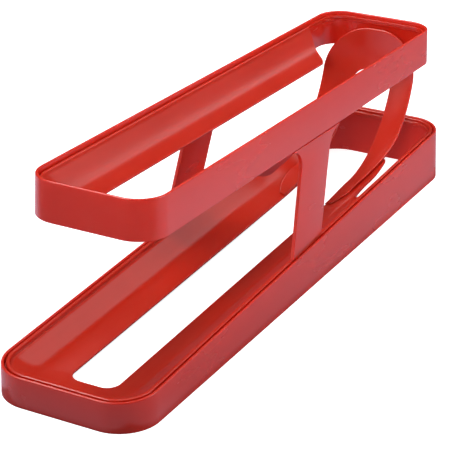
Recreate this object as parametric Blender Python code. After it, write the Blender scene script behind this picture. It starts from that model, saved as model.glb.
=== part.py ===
"""Two-tier rolling egg dispenser, moulded in red plastic.

Eggs laid in the upper tier roll down its slope to the rear and drop through its open end.
The curved chute turns them round, and they roll forward in the lower tier to be picked up.
X is across, +Y is the rear and +Z is up. The origin is the middle of the footprint on the
table. Lengths are in metres.
"""

import math

import bmesh
import bpy
from mathutils import Matrix, Vector

# Lower tier: a wedge, low at the front where the eggs are taken
LOWER_LENGTH = 0.3863
LOWER_WIDTH = 0.0900
LOWER_CORNER_RADIUS = 0.0221
LOWER_FRONT_HEIGHT = 0.0169
LOWER_REAR_HEIGHT = 0.0326

# Upper tier: a band of even height that slopes down to the rear
UPPER_LENGTH = 0.3455
UPPER_WIDTH = 0.0736
UPPER_CORNER_RADIUS = 0.0167
UPPER_BAND_HEIGHT = 0.0219
UPPER_SETBACK = 0.0097
UPPER_CENTRE_HEIGHT = 0.1057
UPPER_SLOPE = math.radians(2.01)

# Both frames: wall, draft and the ledge that carries the trough
WALL = 0.0016
DRAFT = math.tan(math.radians(2.1))
RIM_EDGE = 0.0004
LEDGE_THICKNESS = 0.0016
SEAT_GAP = 0.0003

# Lower trough: it hangs by a lip that stands at the rim, with a shelf inside it
LOWER_SHEET = 0.0016
LOWER_GROOVE = 0.0018
LOWER_LIP_WIDTH = 0.0020
LOWER_LIP_THICKNESS = 0.0032
LOWER_LEDGE_WIDTH = 0.0035
SHELF_STEP = 0.0020
SHELF_WIDTH = 0.0016
LOWER_SLOT_WIDTH = 0.0272
LOWER_SLOT_RADIUS = 0.0075
LOWER_SLOT_MARGIN = 0.0287
LOWER_SLOT_FRONT_DEPTH = 0.0118
LOWER_SLOT_REAR_DEPTH = 0.0158

# Section of a panel, as shares of its width and depth: steep outside, nearly flat at the slot
PANEL_STEEP = 1.75
PANEL_SHALLOW = 0.45
PANEL_EASE = 0.08

# Upper trough: its lip lies inside the band, a little below the rim
UPPER_SHEET = 0.0012
UPPER_PARTING = 0.0004
UPPER_LIP_WIDTH = 0.0016
UPPER_LIP_THICKNESS = 0.0016
UPPER_LIP_DEPTH = 0.0025
UPPER_LEDGE_WIDTH = 0.0012
UPPER_SLOT_WIDTH = 0.0268
UPPER_SLOT_RADIUS = 0.0065
UPPER_SLOT_MARGIN = 0.0250
UPPER_SLOT_DEPTH = 0.0181

# Opening at the rear of the upper trough, where the eggs drop
DROP_SLOT_LENGTH = 0.0544
DROP_SPREAD = math.radians(39.7)
DROP_CORNER_RADIUS = 0.0120

# Chute: a dished sheet that runs down, round a quarter turn and along the lower trough
CHUTE_SIDE_GAP = 0.0070
CHUTE_REAR_GAP = 0.0055
CHUTE_SHEET = 0.0018
CHUTE_BEND_RADIUS = 0.0700
CHUTE_DISH_RADIUS = 0.0600
CHUTE_TOP_DROP = 0.0064
CHUTE_TOP_FLAT = 0.0080
CHUTE_BRIDGE = 0.0263
CHUTE_SLOT_RADIUS = 0.0100
CHUTE_LAP = 0.0003
CHUTE_TIP_SHEET = 0.0005
CHUTE_TIP_RUN = 0.0280
CHUTE_TIP_WIDTH = 0.0035
CHUTE_NARROW_RUN = 0.0035
CHUTE_NARROW_WIDTH = 0.0095
CHUTE_FULL_RUN = 0.0435

# Tongues of the lower trough, which the chute's tips lie on
TONGUE_INSET = 0.0016
TONGUE_ROOT_RUN = 0.0120
TONGUE_ROOT_RADIUS = 0.0300
TONGUE_INNER_RUN = 0.0075
TONGUE_OUTER_RUN = 0.0355
TONGUE_CORNER_RADIUS = 0.0030

# Legs: T-shaped plates between the frames
LEG_THICKNESS = 0.0021
LEG_WIDTH = 0.0349
LEG_MIDDLE_Y = 0.0056
LEG_MIDDLE_HEIGHT = 0.0540
LEG_LEAN = 0.346
LEG_FRONT_FILLET = 0.0085
LEG_REAR_FILLET = 0.0140
LEG_TIP = 0.0008
LEG_PAD_HEIGHT = 0.0080
LEG_PAD_EDGE = 0.0010
TENON_THICKNESS = 0.0012
TENON_WIDTH = 0.0300
TENON_GAP = 0.0003
FOOT_DEPTH = 0.0080

# Hook of the chute and the pocket behind it
HOOK_WIDTH = 0.0140
HOOK_THICKNESS = 0.0012
HOOK_DROP = 0.0080
HOOK_TOP_DROP = 0.0027
POCKET_WALL = 0.0014
POCKET_HEIGHT = 0.0090
POCKET_GAP = 0.0004

# Fineness of the curves, and how far a cutter runs past what it cuts
CORNER_STEPS = 8
PANEL_STEPS = 8
FILLET_STEPS = 6
BEND_STEPS = 24
DISH_STEPS = 16
ROUND_STEPS = 12
STATION_STEP = 0.0050
OVERRUN = 0.0100
SIDE_OVERRUN = 0.0020
CUTTER_DEPTH = 0.1200
TRIM = 0.0002
WELD = 0.00003
QUARTER = math.pi / 2

RED = (0.560, 0.036, 0.026, 1.0)
COLLECTION = "egg_dispenser"


def clear_scene():
    for item in list(bpy.data.objects):
        bpy.data.objects.remove(item, do_unlink=True)


def make_collection(name):
    collection = bpy.data.collections.new(name)
    bpy.context.scene.collection.children.link(collection)
    return collection


clear_scene()
PARTS = make_collection(COLLECTION)
CUTTERS = make_collection(COLLECTION + "_cutters")


def plastic(name, colour, roughness):
    """A glossy moulded plastic."""
    material = bpy.data.materials.new(name)
    material.use_nodes = True
    shader = material.node_tree.nodes["Principled BSDF"]
    shader.inputs["Base Color"].default_value = colour
    shader.inputs["Roughness"].default_value = roughness
    shader.inputs["Metallic"].default_value = 0.0
    material.diffuse_color = colour
    return material


# General shapes

def mix(start, end, share):
    return start + (end - start) * share


def smooth(share):
    share = min(max(share, 0.0), 1.0)
    return share * share * (3 - 2 * share)


def finish(name, mesh, material=None):
    """Put a mesh in the scene, as a part if it has a material and as a cutter if not."""
    item = bpy.data.objects.new(name, mesh)
    if material is None:
        CUTTERS.objects.link(item)
        item.hide_render = True
        item.display_type = "WIRE"
        return item
    PARTS.objects.link(item)
    mesh.materials.append(material)
    mesh.shade_smooth()
    mesh.set_sharp_from_angle(angle=math.radians(30))
    return item


def rounded_outline(half_width, front, rear, radius, stations=()):
    """Points and outward normals of a rounded rectangle, anticlockwise from above."""
    side = half_width - radius
    corners = (
        (side, rear - radius),
        (-side, rear - radius),
        (-side, front + radius),
        (side, front + radius),
    )
    outline = []
    for index, centre in enumerate(corners):
        for step in range(CORNER_STEPS + 1):
            angle = (index + step / CORNER_STEPS) * QUARTER
            normal = Vector((math.cos(angle), math.sin(angle)))
            outline.append((Vector(centre) + radius * normal, normal))
        if index == 1:
            outline += [(Vector((-half_width, y)), Vector((-1, 0))) for y in reversed(stations)]
        if index == 3:
            outline += [(Vector((half_width, y)), Vector((1, 0))) for y in stations]
    return outline


def ring(outline, inset, height):
    """One closed line of a moulding: the outline drawn in by inset(y), at height(x, y)."""
    points = []
    for point, normal in outline:
        place = point - normal * inset(point.y)
        points.append(Vector((place.x, place.y, height(place.x, place.y))))
    return points


def solid_of_rings(name, rings, material):
    """A closed frame: each ring joined to the next, and the last to the first."""
    shape = bmesh.new()
    lines = [[shape.verts.new(point) for point in line] for line in rings]
    for this, following in zip(lines, lines[1:] + lines[:1]):
        for index in range(len(this)):
            after = (index + 1) % len(this)
            shape.faces.new((this[index], this[after], following[after], following[index]))
    bmesh.ops.recalc_face_normals(shape, faces=shape.faces)
    mesh = bpy.data.meshes.new(name)
    shape.to_mesh(mesh)
    shape.free()
    return finish(name, mesh, material)


def arc(centre, radius, start, end, steps):
    """Points of a circle from one angle to another."""
    angles = [mix(start, end, step / steps) for step in range(steps + 1)]
    return [Vector(centre) + radius * Vector((math.cos(a), math.sin(a))) for a in angles]


def fillet(before, corner, after, radius, steps=FILLET_STEPS):
    """Points that round a corner between two straight lines."""
    to_before = (before - corner).normalized()
    to_after = (after - corner).normalized()
    half = to_before.angle(to_after) / 2
    middle = corner + (to_before + to_after).normalized() * radius / math.sin(half)
    start = corner + to_before * radius / math.tan(half)
    turn = (start - middle).normalized()
    sign = 1 if to_before.x * to_after.y - to_before.y * to_after.x < 0 else -1
    sweep = sign * (math.pi - 2 * half)
    points = []
    for step in range(steps + 1):
        angle = sweep * step / steps
        turned = Matrix.Rotation(angle, 2) @ turn
        points.append(middle + turned * radius)
    return points


def mirrored(points):
    """A left half added to the right half of an outline that starts and ends at x = 0."""
    left = [Vector((-point.x, point.y)) for point in reversed(points)]
    return points + [point for point in left if point.x < 0]


ALONG_Z = Matrix.Identity(4)
ALONG_Y = Matrix(((1, 0, 0, 0), (0, 0, -1, 0), (0, 1, 0, 0), (0, 0, 0, 1)))
ALONG_X = Matrix(((0, 0, 1, 0), (1, 0, 0, 0), (0, 1, 0, 0), (0, 0, 0, 1)))


def plate(name, points, thickness, place, material=None):
    """A flat outline given a thickness, centred on its plane, as a mesh."""
    curve = bpy.data.curves.new(name, "CURVE")
    curve.dimensions = "2D"
    curve.fill_mode = "BOTH"
    curve.extrude = thickness / 2
    spline = curve.splines.new("POLY")
    spline.points.add(len(points) - 1)
    for target, point in zip(spline.points, points):
        target.co = (point.x, point.y, 0, 1)
    spline.use_cyclic_u = True
    drawn = bpy.data.objects.new(name + "_outline", curve)
    CUTTERS.objects.link(drawn)
    evaluated = drawn.evaluated_get(bpy.context.evaluated_depsgraph_get())
    mesh = bpy.data.meshes.new_from_object(evaluated)
    bpy.data.objects.remove(drawn, do_unlink=True)
    bpy.data.curves.remove(curve)
    shape = bmesh.new()
    shape.from_mesh(mesh)
    bmesh.ops.remove_doubles(shape, verts=shape.verts, dist=WELD)
    bmesh.ops.recalc_face_normals(shape, faces=shape.faces)
    shape.to_mesh(mesh)
    shape.free()
    mesh.materials.clear()
    item = finish(name, mesh, material)
    item.matrix_world = place
    return item


def block(name, low, high, place=ALONG_Z):
    """A box between two corners, used to cut or to be joined to a part."""
    low = Vector(low)
    high = Vector(high)
    shape = bmesh.new()
    bmesh.ops.create_cube(shape, size=1)
    bmesh.ops.scale(shape, vec=high - low, verts=shape.verts)
    bmesh.ops.translate(shape, vec=(low + high) / 2, verts=shape.verts)
    mesh = bpy.data.meshes.new(name)
    shape.to_mesh(mesh)
    shape.free()
    item = finish(name, mesh)
    item.matrix_world = place
    return item


def combine(item, other, operation):
    modifier = item.modifiers.new(other.name, "BOOLEAN")
    modifier.operation = operation
    modifier.object = other
    modifier.solver = "EXACT"


# Where the tiers lie

LOWER_SLOPE = (LOWER_REAR_HEIGHT - LOWER_FRONT_HEIGHT) / LOWER_LENGTH
LOWER_FRONT = -LOWER_LENGTH / 2
LOWER_REAR = LOWER_LENGTH / 2
UPPER_FRONT = -UPPER_LENGTH / 2
UPPER_REAR = UPPER_LENGTH / 2
UPPER_CENTRE_Y = LOWER_REAR - UPPER_SETBACK - UPPER_REAR

UPPER_PLACE = (
    Matrix.Translation((0, UPPER_CENTRE_Y, UPPER_CENTRE_HEIGHT))
    @ Matrix.Rotation(-UPPER_SLOPE, 4, "X")
)


def lower_rim(y):
    """Height of the lower tier's sloping rim."""
    return LOWER_FRONT_HEIGHT + LOWER_SLOPE * (y - LOWER_FRONT)


def upper_rim(y):
    """Height of the upper tier's sloping rim."""
    return UPPER_CENTRE_HEIGHT - math.tan(UPPER_SLOPE) * (y - UPPER_CENTRE_Y)


def upper_band_bottom(y):
    """Height of the upper band's lower edge."""
    return upper_rim(y) - UPPER_BAND_HEIGHT / math.cos(UPPER_SLOPE)


# How the trough's lip and sheet lie inside the rim, measured inwards from the outer face

LOWER_LIP_OUTER = WALL + LOWER_GROOVE
LOWER_LIP_INNER = LOWER_LIP_OUTER + LOWER_LIP_WIDTH
LOWER_LEDGE_DEPTH = LOWER_LIP_THICKNESS + SEAT_GAP
UPPER_LIP_OUTER = WALL + UPPER_PARTING
UPPER_LIP_INNER = UPPER_LIP_OUTER + UPPER_LIP_WIDTH
UPPER_LIP_BOTTOM = UPPER_LIP_DEPTH + UPPER_LIP_THICKNESS
UPPER_LEDGE_DEPTH = UPPER_LIP_BOTTOM + SEAT_GAP


def frame_rings(outline, rim, floor, draft_inset, ledge_depth, ledge_width):
    """The rings of a frame's section: drafted wall, with a ledge inside it.

    rim(y) and floor(y) are the top and bottom heights, draft_inset(drop, y) is how far the
    outer face lies in from the outline at a depth below the rim.
    """

    def line(inset, drop=None):
        """A ring at a depth below the rim, or at the floor, drawn in from the outer face."""

        def depth(y):
            return rim(y) - floor(y) if drop is None else drop

        return ring(
            outline,
            lambda y: draft_inset(depth(y), y) + inset,
            lambda x, y: rim(y) - depth(y),
        )

    return [
        line(0.0),
        line(0.0, RIM_EDGE),
        line(RIM_EDGE, 0.0),
        line(WALL - RIM_EDGE, 0.0),
        line(WALL, RIM_EDGE),
        line(WALL, ledge_depth),
        line(WALL + ledge_width, ledge_depth),
        line(WALL + ledge_width, ledge_depth + LEDGE_THICKNESS),
        line(WALL, ledge_depth + LEDGE_THICKNESS),
        line(WALL),
    ]


def panel_fall(share):
    """How far a panel has fallen, as a share of its depth, at a share of its width."""

    def bent(at):
        steep = PANEL_STEEP * at
        shallow = 1 - PANEL_SHALLOW * (1 - at)
        return (steep + shallow) / 2 - math.hypot((steep - shallow) / 2, PANEL_EASE)

    return (bent(share) - bent(0)) / (bent(1) - bent(0))


def trough_rings(size, rim, rim_inset, slot_depth, surface=None):
    """The rings of a trough: lip, shelf, the panels down to the slot, and their underside."""
    shelf_inner = size["shelf_inner"]
    shelf_depth = size["shelf_depth"]
    edge_width = size["half_width"] - shelf_inner
    panel_width = edge_width - size["slot_half_width"]
    slot_rear = size["rear"] - shelf_inner - panel_width
    mean_depth = slot_depth((size["front"] + size["rear"]) / 2) - shelf_depth

    def place(inset, share, outset, drop):
        """The rim's outline drawn in, changed by a share into the slot's, and pushed out."""
        outline = rounded_outline(
            mix(size["half_width"] - inset, size["slot_half_width"], share) + outset,
            mix(size["front"] + inset, size["slot_front"], share) - outset,
            mix(size["rear"] - inset, slot_rear, share) + outset,
            mix(size["radius"] - inset, size["slot_radius"], share) + outset,
            size["stations"],
        )
        return ring(outline, lambda y: rim_inset(y) * (1 - share), lambda x, y: rim(y) - drop(x, y))

    def lip(inset, drop):
        return place(inset, 0.0, 0.0, lambda x, y: drop)

    def sheet_drop(share, x, y):
        drop = shelf_depth + (slot_depth(y) - shelf_depth) * panel_fall(share)
        if surface is None:
            return drop
        return rim(y) - surface(x, y, rim(y) - drop, edge_width - panel_width * share)

    def sheet(share, outset=0.0, lower=0.0):
        return place(shelf_inner, share, outset, lambda x, y: sheet_drop(share, x, y) + lower)

    def underside(share):
        """The sheet's ring moved square to the slope by its thickness."""
        step = 1 / PANEL_STEPS
        down = mean_depth * (panel_fall(share + step / 2) - panel_fall(share - step / 2))
        across = panel_width * step
        scale = size["sheet"] / math.hypot(across, down)
        return sheet(share, down * scale, across * scale)

    shares = [step / PANEL_STEPS for step in range(PANEL_STEPS + 1)]
    rings = [
        lip(size["lip_outer"], size["lip_bottom"]),
        lip(size["lip_outer"], size["lip_depth"] + RIM_EDGE),
        lip(size["lip_outer"] + RIM_EDGE, size["lip_depth"]),
        lip(size["lip_inner"] - RIM_EDGE, size["lip_depth"]),
        lip(size["lip_inner"], size["lip_depth"] + RIM_EDGE),
    ]
    if shelf_inner > size["lip_inner"]:
        rings.append(lip(size["lip_inner"], shelf_depth))
    rings += [sheet(share) for share in shares]
    rings += [underside(share) for share in reversed(shares[1:])]
    rings.append(lip(size["lip_inner"], size["lip_bottom"]))
    return rings


# Lower tier's shapes

LOWER_SHELF_INNER = LOWER_LIP_INNER + SHELF_WIDTH
LOWER_SHELF_HALF_WIDTH = LOWER_WIDTH / 2 - LOWER_SHELF_INNER


def lower_slot_depth(y):
    share = (y - LOWER_FRONT) / LOWER_LENGTH
    return mix(LOWER_SLOT_FRONT_DEPTH, LOWER_SLOT_REAR_DEPTH, share)


def lower_floor(y):
    """Height of the middle line that the chute's curve starts from."""
    slot_share = LOWER_SLOT_WIDTH / 2 / LOWER_SHELF_HALF_WIDTH
    depth = (lower_slot_depth(y) - SHELF_STEP) / math.sqrt(1 - slot_share ** 2)
    return lower_rim(y) - SHELF_STEP - depth


def dish(x):
    """How far the chute's dished section rises from its middle line to x."""
    return CHUTE_DISH_RADIUS - math.sqrt(CHUTE_DISH_RADIUS ** 2 - x * x)


# Where the chute lies: its back stands in front of the upper band's rear wall

UPPER_WALL_Y = UPPER_CENTRE_Y + UPPER_REAR * math.cos(UPPER_SLOPE) - WALL
CHUTE_BACK_Y = UPPER_WALL_Y - CHUTE_REAR_GAP
CHUTE_FACE_Y = CHUTE_BACK_Y - CHUTE_SHEET
CHUTE_BEND_START = CHUTE_FACE_Y - CHUTE_BEND_RADIUS
CHUTE_TIP_Y = CHUTE_BEND_START - CHUTE_TIP_RUN
CHUTE_NARROW_Y = CHUTE_BEND_START + CHUTE_NARROW_RUN
CHUTE_FULL_Y = CHUTE_BEND_START + CHUTE_FULL_RUN
CHUTE_HALF_WIDTH = LOWER_SHELF_HALF_WIDTH - CHUTE_SIDE_GAP
CHUTE_TOP_HEIGHT = upper_rim(UPPER_WALL_Y) - CHUTE_TOP_DROP
CHUTE_SLOT_TOP = CHUTE_TOP_HEIGHT - CHUTE_BRIDGE
CHUTE_UNDER_RADIUS = CHUTE_BEND_RADIUS + CHUTE_SHEET + CHUTE_LAP
BEND_CENTRE_HEIGHT = lower_floor(CHUTE_BEND_START) + CHUTE_UNDER_RADIUS
TONGUE_ROOT_Y = CHUTE_BEND_START - TONGUE_ROOT_RUN
TONGUE_INNER_Y = CHUTE_BEND_START + TONGUE_INNER_RUN
TONGUE_OUTER_Y = CHUTE_BEND_START + TONGUE_OUTER_RUN


def tongue_surface(x, y, sheet, half_width):
    """The lower trough's sheet height, bent up behind to lie under the chute.

    half_width is that of the ring that the point is on: near the shelf nothing is bent.
    """
    blend = smooth((y - CHUTE_TIP_Y) / (CHUTE_BEND_START - CHUTE_TIP_Y))
    if blend == 0.0:
        return sheet
    y = min(y, TONGUE_OUTER_Y + STATION_STEP)
    if y < CHUTE_BEND_START:
        bent = mix(sheet, lower_floor(y) + dish(x), blend)
    else:
        radius = CHUTE_UNDER_RADIUS - dish(x)
        along = y - CHUTE_BEND_START
        bent = BEND_CENTRE_HEIGHT - math.sqrt(radius ** 2 - along ** 2)
    return mix(sheet, bent, smooth((LOWER_SHELF_HALF_WIDTH - half_width) / CHUTE_SIDE_GAP))


def lower_frame(material):
    outline = rounded_outline(LOWER_WIDTH / 2, LOWER_FRONT, LOWER_REAR, LOWER_CORNER_RADIUS)
    rings = frame_rings(
        outline,
        lower_rim,
        lambda y: 0.0,
        lambda drop, y: DRAFT * (lower_rim(y) - drop),
        LOWER_LEDGE_DEPTH,
        LOWER_LEDGE_WIDTH,
    )
    item = solid_of_rings("lower_frame", rings, material)
    for side in (-1, 1):
        outer = foot_outer_x() + TENON_GAP
        inner = foot_outer_x() - TENON_THICKNESS - TENON_GAP
        low = min(side * outer, side * inner)
        high = max(side * outer, side * inner)
        middle = leg_middle(lower_rim(LEG_MIDDLE_Y))
        half = TENON_WIDTH / 2 + TENON_GAP
        window = block(
            "foot_window_left" if side < 0 else "foot_window_right",
            (low, middle - half, 0.0),
            (high, middle + half, lower_rim(middle) + OVERRUN),
        )
        combine(item, window, "DIFFERENCE")
    return item


def lower_trough(material):
    first = CHUTE_TIP_Y - STATION_STEP
    last = TONGUE_OUTER_Y + STATION_STEP
    count = math.ceil((last - first) / STATION_STEP)
    size = {
        "half_width": LOWER_WIDTH / 2,
        "front": LOWER_FRONT,
        "rear": LOWER_REAR,
        "radius": LOWER_CORNER_RADIUS,
        "sheet": LOWER_SHEET,
        "lip_outer": LOWER_LIP_OUTER,
        "lip_inner": LOWER_LIP_INNER,
        "lip_depth": 0.0,
        "lip_bottom": LOWER_LIP_THICKNESS,
        "shelf_inner": LOWER_SHELF_INNER,
        "shelf_depth": SHELF_STEP,
        "slot_half_width": LOWER_SLOT_WIDTH / 2,
        "slot_front": LOWER_FRONT + LOWER_SLOT_MARGIN,
        "slot_radius": LOWER_SLOT_RADIUS,
        "stations": [mix(first, last, step / count) for step in range(count + 1)],
    }
    rings = trough_rings(
        size,
        lower_rim,
        lambda y: DRAFT * lower_rim(y),
        lower_slot_depth,
        tongue_surface,
    )
    item = solid_of_rings("lower_trough", rings, material)
    combine(item, lower_rear_opening(), "DIFFERENCE")
    return item


def lower_rear_opening():
    """Cutter for the open rear of the lower trough, round the two tongues."""
    inset = LOWER_SHELF_INNER - TRIM + DRAFT * LOWER_REAR_HEIGHT
    half_width = LOWER_WIDTH / 2 - inset
    rear = LOWER_REAR - inset
    radius = LOWER_CORNER_RADIUS - inset
    half = CHUTE_HALF_WIDTH - TONGUE_INSET
    slot = LOWER_SLOT_WIDTH / 2
    points = [Vector((0, rear))]
    points += reversed(arc((half_width - radius, rear - radius), radius, 0, QUARTER, CORNER_STEPS))
    root = Vector((half + TONGUE_ROOT_RADIUS, TONGUE_ROOT_Y))
    start = math.pi + math.acos((root.x - half_width) / TONGUE_ROOT_RADIUS)
    points += arc(root, TONGUE_ROOT_RADIUS, start, math.pi, FILLET_STEPS)
    inner = Vector((slot - TRIM, TONGUE_INNER_Y))
    outer = Vector((half, TONGUE_OUTER_Y))
    points += fillet(Vector((half, TONGUE_ROOT_Y)), outer, inner, TONGUE_CORNER_RADIUS)
    points += [inner, Vector((0, TONGUE_INNER_Y))]
    place = Matrix.Translation((0, 0, LOWER_REAR_HEIGHT))
    return plate("lower_rear_opening", mirrored(points), CUTTER_DEPTH, place)


# Upper tier's shapes

def upper_frame(material):
    outline = rounded_outline(UPPER_WIDTH / 2, UPPER_FRONT, UPPER_REAR, UPPER_CORNER_RADIUS)
    rings = frame_rings(
        outline,
        lambda y: 0.0,
        lambda y: -UPPER_BAND_HEIGHT,
        lambda drop, y: -DRAFT * drop,
        UPPER_LEDGE_DEPTH,
        UPPER_LEDGE_WIDTH,
    )
    item = solid_of_rings("upper_frame", rings, material)
    item.matrix_world = UPPER_PLACE
    for side in (-1, 1):
        outer = tenon_outer_x(UPPER_LEDGE_DEPTH) + TENON_GAP
        inner = tenon_outer_x(UPPER_LEDGE_DEPTH) - TENON_THICKNESS - TENON_GAP
        low = min(side * outer, side * inner)
        high = max(side * outer, side * inner)
        middle = upper_tenon_middle()
        half = TENON_WIDTH / 2 + TENON_GAP
        window = block(
            "tenon_window_left" if side < 0 else "tenon_window_right",
            (low, middle - half, -UPPER_LEDGE_DEPTH - LEDGE_THICKNESS - SEAT_GAP),
            (high, middle + half, -UPPER_LEDGE_DEPTH + SEAT_GAP),
            UPPER_PLACE,
        )
        combine(item, window, "DIFFERENCE")
    combine(item, chute_pocket(), "UNION")
    return item


def upper_trough(material):
    size = {
        "half_width": UPPER_WIDTH / 2,
        "front": UPPER_FRONT,
        "rear": UPPER_REAR,
        "radius": UPPER_CORNER_RADIUS,
        "sheet": UPPER_SHEET,
        "lip_outer": UPPER_LIP_OUTER,
        "lip_inner": UPPER_LIP_INNER,
        "lip_depth": UPPER_LIP_DEPTH,
        "lip_bottom": UPPER_LIP_BOTTOM,
        "shelf_inner": UPPER_LIP_INNER,
        "shelf_depth": UPPER_LIP_DEPTH + RIM_EDGE,
        "slot_half_width": UPPER_SLOT_WIDTH / 2,
        "slot_front": UPPER_FRONT + UPPER_SLOT_MARGIN,
        "slot_radius": UPPER_SLOT_RADIUS,
        "stations": [],
    }
    rings = trough_rings(size, lambda y: 0.0, lambda y: 0.0, lambda y: UPPER_SLOT_DEPTH)
    item = solid_of_rings("upper_trough", rings, material)
    item.matrix_world = UPPER_PLACE
    combine(item, drop_opening(), "DIFFERENCE")
    return item


def drop_opening():
    """Cutter for the open rear of the upper trough, where the eggs fall on to the chute."""
    inset = UPPER_LIP_INNER - TRIM
    half_width = UPPER_WIDTH / 2 - inset
    rear = UPPER_REAR - inset
    radius = UPPER_CORNER_RADIUS - inset
    slot = UPPER_SLOT_WIDTH / 2 - TRIM
    corner = Vector((slot, UPPER_REAR - DROP_SLOT_LENGTH))
    side = Vector((half_width, corner.y + (half_width - slot) * math.tan(DROP_SPREAD)))
    front = Vector((slot, UPPER_FRONT))
    points = [Vector((0, rear))]
    points += reversed(arc((half_width - radius, rear - radius), radius, 0, QUARTER, CORNER_STEPS))
    points += [side]
    points += fillet(side, corner, front, DROP_CORNER_RADIUS)
    points += [Vector((0, points[-1].y))]
    return plate("drop_opening", mirrored(points), CUTTER_DEPTH, UPPER_PLACE)


# Legs

def leg_middle(height):
    """Middle of the leg, front to rear, at a height."""
    return LEG_MIDDLE_Y + LEG_LEAN * (height - LEG_MIDDLE_HEIGHT)


def foot_outer_x():
    """Outer face of the foot, just inside the lower frame's wall."""
    rim = lower_rim(leg_middle(lower_rim(LEG_MIDDLE_Y)))
    return LOWER_WIDTH / 2 - DRAFT * rim - WALL - TENON_GAP


def tenon_outer_x(drop):
    """Outer face of the upper tenon, just inside the band's wall, at a depth below the rim."""
    return UPPER_WIDTH / 2 + DRAFT * drop - WALL - TENON_GAP


def upper_tenon_middle():
    """Middle of the upper tenon along the upper tier."""
    top = upper_band_bottom(leg_middle(UPPER_CENTRE_HEIGHT - UPPER_BAND_HEIGHT))
    return (leg_middle(top) - UPPER_CENTRE_Y) / math.cos(UPPER_SLOPE)


def leg_outline():
    """The T-shaped side view: points are (y, z)."""
    half = LEG_WIDTH / 2

    def top_line(y):
        return upper_band_bottom(y) - SEAT_GAP

    def edge(side, height):
        return Vector((leg_middle(height) + side * half, height))

    def foot(side):
        y = edge(side, lower_rim(LEG_MIDDLE_Y)).x
        return Vector((y, lower_rim(y) + SEAT_GAP))

    def crossing(side):
        """Where the leg's edge meets the line that its fillet runs into."""
        y = edge(side, top_line(LEG_MIDDLE_Y)).x
        return edge(side, top_line(y) - LEG_TIP)

    points = []
    front = crossing(-1)
    rear = crossing(1)
    reach = Vector((1, -math.tan(UPPER_SLOPE)))
    points += fillet(foot(1), rear, rear + reach, LEG_REAR_FILLET)
    rear_tip = points[-1]
    points.append(Vector((rear_tip.x, top_line(rear_tip.x))))
    front_round = fillet(front - reach, front, foot(-1), LEG_FRONT_FILLET)
    front_tip = front_round[0]
    points.append(Vector((front_tip.x, top_line(front_tip.x))))
    points += front_round
    points += [foot(-1), foot(1)]
    return points


def leg(name, side, material):
    """A splayed plate with a foot below and a tenon above, each stepped in on its inner side."""
    top = upper_band_bottom(leg_middle(UPPER_CENTRE_HEIGHT - UPPER_BAND_HEIGHT)) - SEAT_GAP
    top_x = UPPER_WIDTH / 2 + DRAFT * UPPER_BAND_HEIGHT
    foot_y = leg_middle(lower_rim(LEG_MIDDLE_Y))
    foot_z = lower_rim(foot_y)
    splay = math.atan((foot_outer_x() - top_x) / (top - foot_z))
    points = [Vector((p.x, (p.y - top) / math.cos(splay))) for p in leg_outline()]
    place = (
        Matrix.Translation((side * top_x, 0, top))
        @ Matrix.Rotation(-side * splay, 4, "Y")
        @ Matrix.Translation((-side * LEG_THICKNESS / 2, 0, 0))
        @ ALONG_X
    )
    item = plate(name, points, LEG_THICKNESS, place, material)
    half = TENON_WIDTH / 2

    foot_x = foot_outer_x()
    xs = sorted((side * (foot_x - TRIM), side * (foot_x - TENON_THICKNESS)))
    foot = block(
        name + "_foot",
        (xs[0], foot_y - half, foot_z - FOOT_DEPTH),
        (xs[1], foot_y + half, foot_z + LEG_THICKNESS),
    )
    combine(item, foot, "UNION")

    middle = upper_tenon_middle()
    lean = math.atan(DRAFT)
    wall_place = (
        UPPER_PLACE
        @ Matrix.Translation((side * tenon_outer_x(0.0), middle, 0))
        @ Matrix.Rotation(-side * lean, 4, "Y")
    )
    xs = sorted((0.0, -side * TENON_THICKNESS))
    tenon = block(
        name + "_tenon",
        (xs[0], -half, -UPPER_BAND_HEIGHT - LEG_PAD_HEIGHT),
        (xs[1], half, -UPPER_LEDGE_DEPTH),
        wall_place,
    )
    combine(item, tenon, "UNION")
    xs = sorted((side * (WALL + TENON_GAP - LEG_THICKNESS / 2), -side * TENON_THICKNESS / 2))
    pad = block(
        name + "_pad",
        (xs[0], -half - LEG_PAD_EDGE, -UPPER_BAND_HEIGHT - LEG_PAD_HEIGHT - LEG_PAD_EDGE),
        (xs[1], half + LEG_PAD_EDGE, -UPPER_BAND_HEIGHT - 2 * SEAT_GAP),
        wall_place,
    )
    combine(item, pad, "UNION")
    return item


# Chute

def chute_path():
    """Stations along the back's middle line: (y, z), the way the face looks, and the sheet."""
    start = Vector((CHUTE_BEND_START, BEND_CENTRE_HEIGHT))
    count = round(CHUTE_TIP_RUN / STATION_STEP)
    stations = []
    for step in range(count):
        share = step / count
        y = mix(CHUTE_TIP_Y, CHUTE_BEND_START, share)
        sheet = mix(CHUTE_TIP_SHEET, CHUTE_SHEET, share)
        stations.append((Vector((y, lower_floor(y) + CHUTE_LAP)), Vector((0, 1)), sheet))
    for step in range(BEND_STEPS + 1):
        angle = QUARTER * step / BEND_STEPS
        out = Vector((math.sin(angle), -math.cos(angle)))
        stations.append((start + (CHUTE_BEND_RADIUS + CHUTE_SHEET) * out, -out, CHUTE_SHEET))
    end, facing, sheet = stations[-1]
    rise = CHUTE_TOP_HEIGHT + OVERRUN - end.y
    stations.append((end + Vector((0, rise)), facing, sheet))
    return stations


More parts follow.
